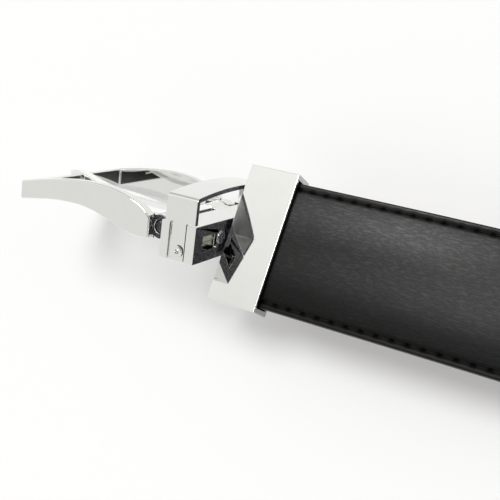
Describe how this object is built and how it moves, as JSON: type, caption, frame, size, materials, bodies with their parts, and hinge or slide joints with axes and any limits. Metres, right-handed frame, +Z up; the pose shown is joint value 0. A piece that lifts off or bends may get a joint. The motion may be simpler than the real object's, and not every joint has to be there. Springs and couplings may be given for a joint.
{
  "type": "reversible belt",
  "caption": "Black leather strap belt with a chromed box clamp and a pin buckle head that turns on a swivel shaft, shown part-way through its turn.",
  "frame": {"origin": "on the strap's underside, on its centre line, 290 mm from the clamp's head end, where the strap has come down to lie flat", "axes": "+X along the strap from the buckle towards the pointed tip, +Y across the strap, +Z up out of the black face"},
  "size_m": [1.1174, 0.0386, 0.0427],
  "materials": {
    "black_leather": "smooth semi-gloss with fine lengthwise wrinkles",
    "brown_leather": "smooth satin",
    "chrome": "mirror polished",
    "plain_steel": "plain, unpolished"
  },
  "bodies": {
    "clamp_and_strap": {"strap_front_leather_raised": "black_leather", "strap_front_leather_lying": "black_leather", "strap_back_leather_raised": "brown_leather", "strap_back_leather_lying": "brown_leather", "clamp_sleeve": "chrome", "clamp_jaw": "plain_steel"},
    "shaft": {"swivel_shaft": "plain_steel"},
    "head": {"head_base": "chrome", "base_cheek_near": "chrome", "base_cheek_far": "chrome", "keeper_bow": "chrome", "keeper_rivet_near": "chrome", "keeper_rivet_far": "chrome"},
    "frame": {"buckle_frame": "chrome", "hinge_pin": "plain_steel"},
    "prong": {"prong": "chrome"}
  },
  "joints": [
    {"name": "head_pull", "type": "slide", "parent": "clamp_and_strap", "child": "shaft", "axis": [-1, 0, 0], "range_m": [0, 0.0024], "stiffness_N_per_m": 800},
    {"name": "head_twist", "type": "hinge", "parent": "shaft", "child": "head", "pos_m": [-0.29, 0, 0.0204], "axis": [1, 0, 0], "range_deg": [-115, 65]},
    {"name": "frame_hinge", "type": "hinge", "parent": "head", "child": "frame", "pos_m": [-0.3033, 0.00154, 0.02112], "axis": [0, 0.4226, -0.9063], "range_deg": [-30, 10]},
    {"name": "prong_hinge", "type": "hinge", "parent": "frame", "child": "prong", "pos_m": [-0.3033, 0.00154, 0.02112], "axis": [0, 0.4226, -0.9063], "range_deg": [0, 75]}
  ]
}
